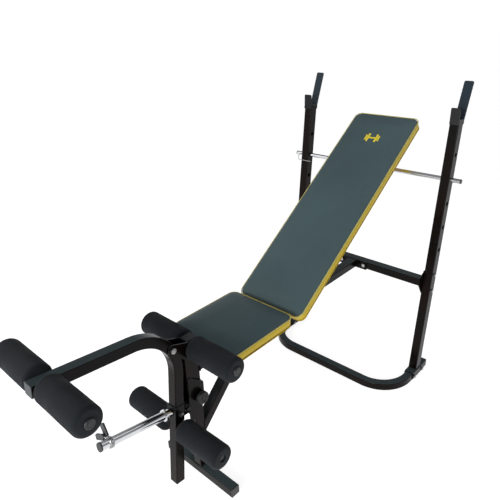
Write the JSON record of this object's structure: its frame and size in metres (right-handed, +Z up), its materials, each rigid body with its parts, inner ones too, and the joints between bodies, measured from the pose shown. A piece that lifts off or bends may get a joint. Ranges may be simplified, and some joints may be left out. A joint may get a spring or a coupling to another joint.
{
  "type": "adjustable weight bench",
  "caption": "Home weight bench with a tilting backrest on a support bar, barbell uprights, and a swinging leg lever with foam rollers and a weight peg.",
  "frame": {"origin": "centre of the bounding box's footprint, on the floor", "axes": "+X to the user's left-hand side when lying with the head at +Y (the bench's knob side), +Y from the leg lever towards the uprights, +Z up"},
  "size_m": [0.7, 1.5316, 1.1085],
  "materials": {
    "frame_paint": "gloss black powder coat",
    "holder_paint": "dark blue-grey powder coat",
    "black_plastic": "moulded black plastic",
    "grey_plastic": "moulded grey plastic",
    "zinc_steel": "bright zinc plate",
    "chrome_tube": "polished chrome plate",
    "foam": "skinned charcoal foam rubber",
    "vinyl": "grained grey-green vinyl with a yellow side band",
    "plywood": "raw plywood board"
  },
  "bodies": {
    "frame": {"bar_holders": "holder_paint", "base_frame_tube": "frame_paint", "base_tube_caps": "black_plastic", "beam_flange": "frame_paint", "beam_flange_bolts": "zinc_steel", "clamp_bracket": "frame_paint", "crossbar_bolts": "zinc_steel", "crossbar_end_plates": "frame_paint", "front_brace": "frame_paint", "front_foot": "frame_paint", "front_foot_caps": "black_plastic", "front_post": "frame_paint", "hinge_bolt": "zinc_steel", "hinge_spacers": "zinc_steel", "main_beam": "frame_paint", "pivot_bolt": "zinc_steel", "pivot_bracket": "frame_paint", "post_top_cap": "black_plastic", "rear_crossbar": "frame_paint", "saddle_bolts": "zinc_steel", "seat_board": "plywood", "seat_brackets": "frame_paint", "seat_pad": "vinyl", "seat_screws": "zinc_steel", "stop_bolt": "zinc_steel", "stop_sleeve": "black_plastic", "upper_rod_caps": "black_plastic", "upper_roller_rod": "chrome_tube", "upright_left": "frame_paint", "upright_right": "frame_paint", "upright_saddles": "frame_paint"},
    "backrest": {"backrest_rail_left": "frame_paint", "backrest_rail_right": "frame_paint", "backrest_rail_caps": "black_plastic", "backrest_pad": "vinyl", "backrest_board": "plywood", "backrest_screws": "zinc_steel"},
    "support_bar_unit": {"support_bar": "chrome_tube", "support_bar_caps": "black_plastic", "support_bar_clip": "zinc_steel"},
    "leg_lever_unit": {"leg_lever": "frame_paint", "lever_end_caps": "grey_plastic", "pivot_bush": "grey_plastic", "peg_saddle": "frame_paint", "peg_saddle_bolt": "zinc_steel", "weight_peg": "chrome_tube", "peg_end_cap": "black_plastic", "lower_roller_rod": "chrome_tube", "front_roller_rod": "chrome_tube", "lever_rod_caps": "black_plastic"},
    "upper_foam_left": {"upper_roller_left": "foam"},
    "upper_foam_right": {"upper_roller_right": "foam"},
    "lower_foam_left": {"lower_roller_left": "foam"},
    "lower_foam_right": {"lower_roller_right": "foam"},
    "front_foam_left": {"front_roller_left": "foam"},
    "front_foam_right": {"front_roller_right": "foam"},
    "peg_collar": {"collar_spring": "zinc_steel", "collar_grips": "grey_plastic"},
    "clamp_screw": {"clamp_knob": "black_plastic", "clamp_bolt": "zinc_steel"}
  },
  "joints": [
    {"name": "backrest_hinge", "type": "hinge", "parent": "frame", "child": "backrest", "pos_m": [0, 0.0484, 0.413], "axis": [1, 0, 0], "range_deg": [0, 15]},
    {"name": "support_bar_slide", "type": "slide", "parent": "frame", "child": "support_bar_unit", "axis": [-1, 0, 0], "range_m": [0, 0.7]},
    {"name": "leg_lever_hinge", "type": "hinge", "parent": "frame", "child": "leg_lever_unit", "pos_m": [0, -0.39, 0.52], "axis": [-1, 0, 0], "range_deg": [0, 95]},
    {"name": "upper_foam_left_spin", "type": "hinge", "parent": "frame", "child": "upper_foam_left", "pos_m": [0, -0.316, 0.49], "axis": [1, 0, 0], "continuous": true},
    {"name": "upper_foam_right_spin", "type": "hinge", "parent": "frame", "child": "upper_foam_right", "pos_m": [0, -0.316, 0.49], "axis": [1, 0, 0], "continuous": true},
    {"name": "lower_foam_left_spin", "type": "hinge", "parent": "leg_lever_unit", "child": "lower_foam_left", "pos_m": [0, -0.39357, 0.24688], "axis": [1, 0, 0], "continuous": true},
    {"name": "lower_foam_right_spin", "type": "hinge", "parent": "leg_lever_unit", "child": "lower_foam_right", "pos_m": [0, -0.39357, 0.24688], "axis": [1, 0, 0], "continuous": true},
    {"name": "front_foam_left_spin", "type": "hinge", "parent": "leg_lever_unit", "child": "front_foam_left", "pos_m": [0, -0.72888, 0.61545], "axis": [1, 0, 0], "continuous": true},
    {"name": "front_foam_right_spin", "type": "hinge", "parent": "leg_lever_unit", "child": "front_foam_right", "pos_m": [0, -0.72888, 0.61545], "axis": [1, 0, 0], "continuous": true},
    {"name": "peg_collar_slide", "type": "slide", "parent": "leg_lever_unit", "child": "peg_collar", "axis": [0, -0.9803, 0.1977], "range_m": [-0.165, 0.018]},
    {"name": "clamp_screw_turn", "type": "hinge", "parent": "frame", "child": "clamp_screw", "pos_m": [0, -0.316, 0.318], "axis": [1, 0, 0], "continuous": true}
  ]
}
